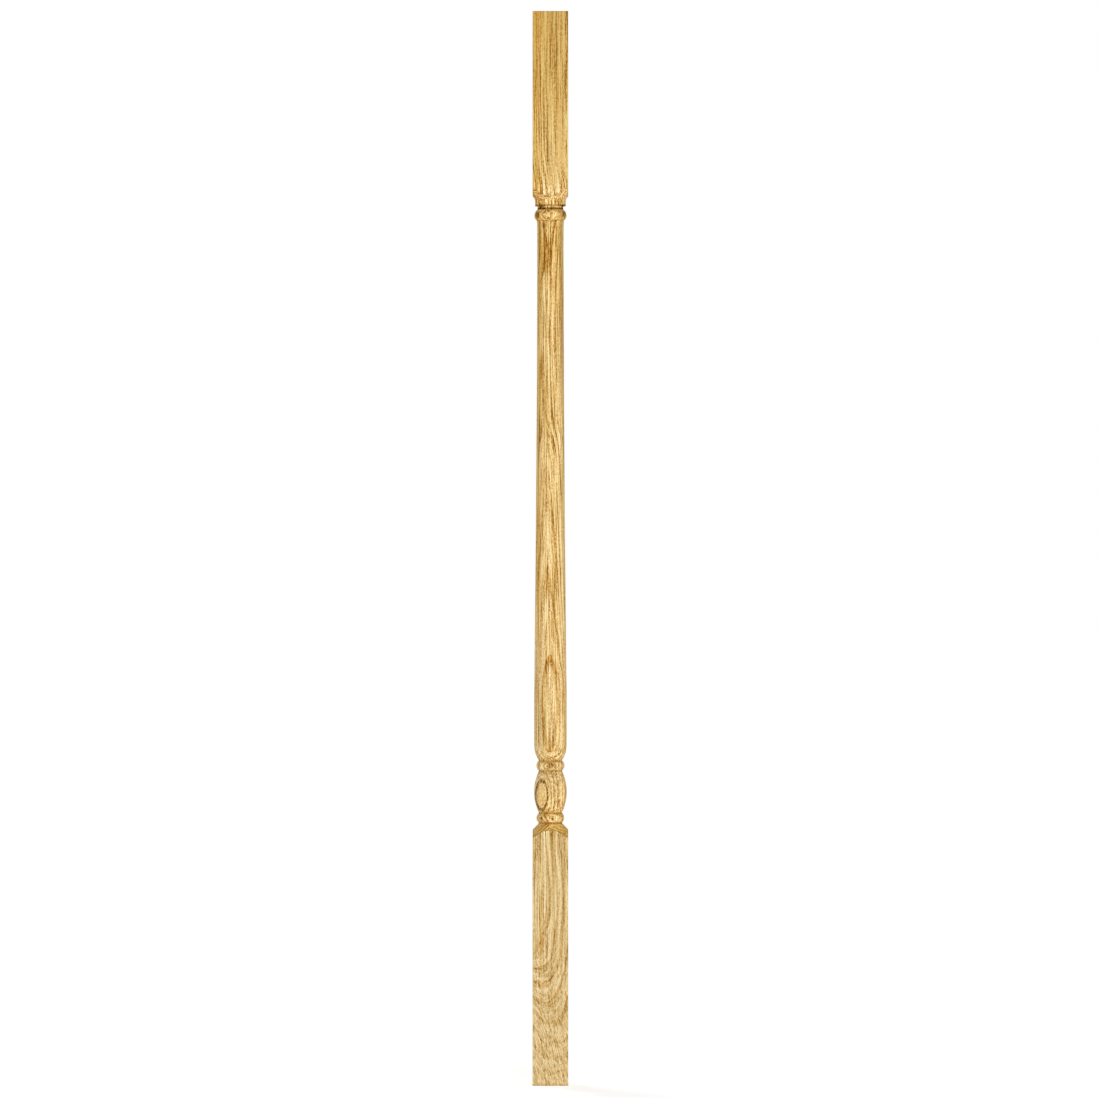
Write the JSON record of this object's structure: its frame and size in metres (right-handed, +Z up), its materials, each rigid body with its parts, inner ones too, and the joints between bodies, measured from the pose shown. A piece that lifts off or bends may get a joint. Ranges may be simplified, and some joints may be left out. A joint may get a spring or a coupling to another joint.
{
  "type": "stair baluster",
  "caption": "Turned oak stair baluster: a slim tapered shaft with beads and a vase between square blocks, standing upright between a tread or base rail and a handrail.",
  "frame": {"origin": "centre of the sawn foot, on the surface that the baluster stands on", "axes": "+Z up along the turning axis from the foot to the head; X and Y are square to the flat faces of the blocks, and -Y is the face in the picture"},
  "size_m": [0.032, 0.032, 0.965],
  "materials": {
    "oak": "bare sanded oak, smooth and matt to satin, with open straight and arched grain"
  },
  "bodies": {
    "root": {"baluster": "oak"}
  },
  "joints": []
}
